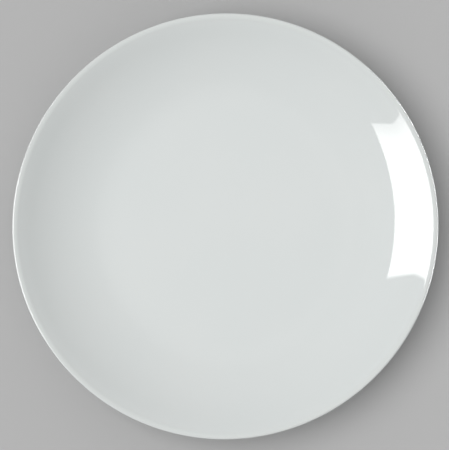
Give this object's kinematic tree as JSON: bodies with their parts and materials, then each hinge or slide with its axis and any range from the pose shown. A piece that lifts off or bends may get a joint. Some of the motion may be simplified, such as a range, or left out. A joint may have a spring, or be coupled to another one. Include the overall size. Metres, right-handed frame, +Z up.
{
  "type": "coupe plate",
  "caption": "Round shallow porcelain coupe plate with a flat well that sweeps up into a flared wall, a softly rolled edge and a foot ring to stand on.",
  "frame": {"origin": "middle of the plane that the foot ring rests on", "axes": "+Z up along the plate's axis; X and Y lie in the table plane and are free to turn"},
  "size_m": [0.2, 0.2, 0.0232],
  "materials": {
    "bare_porcelain": "matt, fired and polished on the resting band",
    "white_glaze": "glossy cool white glaze",
    "foot_well_glaze": "glossy cool white glaze, slightly thicker"
  },
  "bodies": {
    "root": {"porcelain_body": "bare_porcelain", "glaze_coat": "white_glaze", "foot_well_glaze": "foot_well_glaze"}
  },
  "joints": []
}
